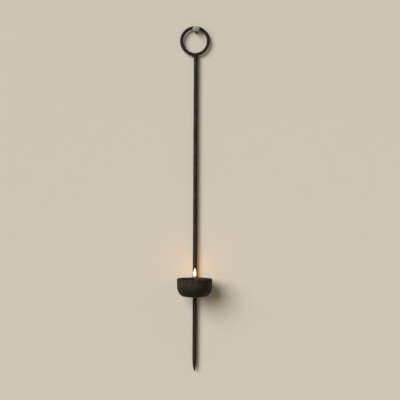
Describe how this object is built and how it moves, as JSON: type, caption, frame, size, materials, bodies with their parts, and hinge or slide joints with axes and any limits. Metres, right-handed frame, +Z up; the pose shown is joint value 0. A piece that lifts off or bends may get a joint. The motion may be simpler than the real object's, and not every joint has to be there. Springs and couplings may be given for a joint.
{
  "type": "wall sconce candle holder",
  "caption": "Iron wall candle holder that hangs from a nail by a welded ring: a slim pointed rod with an open round cup in front, holding a tealight.",
  "frame": {"origin": "on the face of the wall, straight behind the place on the nail's axis where the ring hangs", "axes": "+Z up along the rod, +X to the right as seen from the room, +Y straight into the wall"},
  "size_m": [0.06, 0.1005, 0.6],
  "materials": {
    "black_iron": "matt black forged iron, faintly mottled",
    "weld_metal": "matt black weld bead, rippled",
    "nail_steel": "dull grey, hammered facets",
    "aluminium_shell": "bright drawn foil",
    "paraffin_wax": "translucent wax with a glossy melted pool",
    "tin_plate": "bright tin plate",
    "charred_cotton": "braided cotton, charred at the top"
  },
  "bodies": {
    "wall_fixing": {"wall_nail": "nail_steel"},
    "holder": {"hanging_ring": "black_iron", "rod": "black_iron", "ring_weld": "weld_metal", "cup": "black_iron", "cup_weld_left": "weld_metal", "cup_weld_right": "weld_metal"},
    "tealight": {"tealight_shell": "aluminium_shell"},
    "candle": {"wax": "paraffin_wax", "wick_sustainer": "tin_plate", "wick": "charred_cotton"}
  },
  "joints": [
    {"name": "ring_swing", "type": "hinge", "parent": "wall_fixing", "child": "holder", "pos_m": [0, -0.007, 0], "axis": [0, 1, 0], "range_deg": [-30, 30]},
    {"name": "tealight_lift", "type": "slide", "parent": "holder", "child": "tealight", "axis": [0, 0, 1], "range_m": [0, 0.05]},
    {"name": "candle_lift", "type": "slide", "parent": "tealight", "child": "candle", "axis": [0, 0, 1], "range_m": [0, 0.03]}
  ]
}
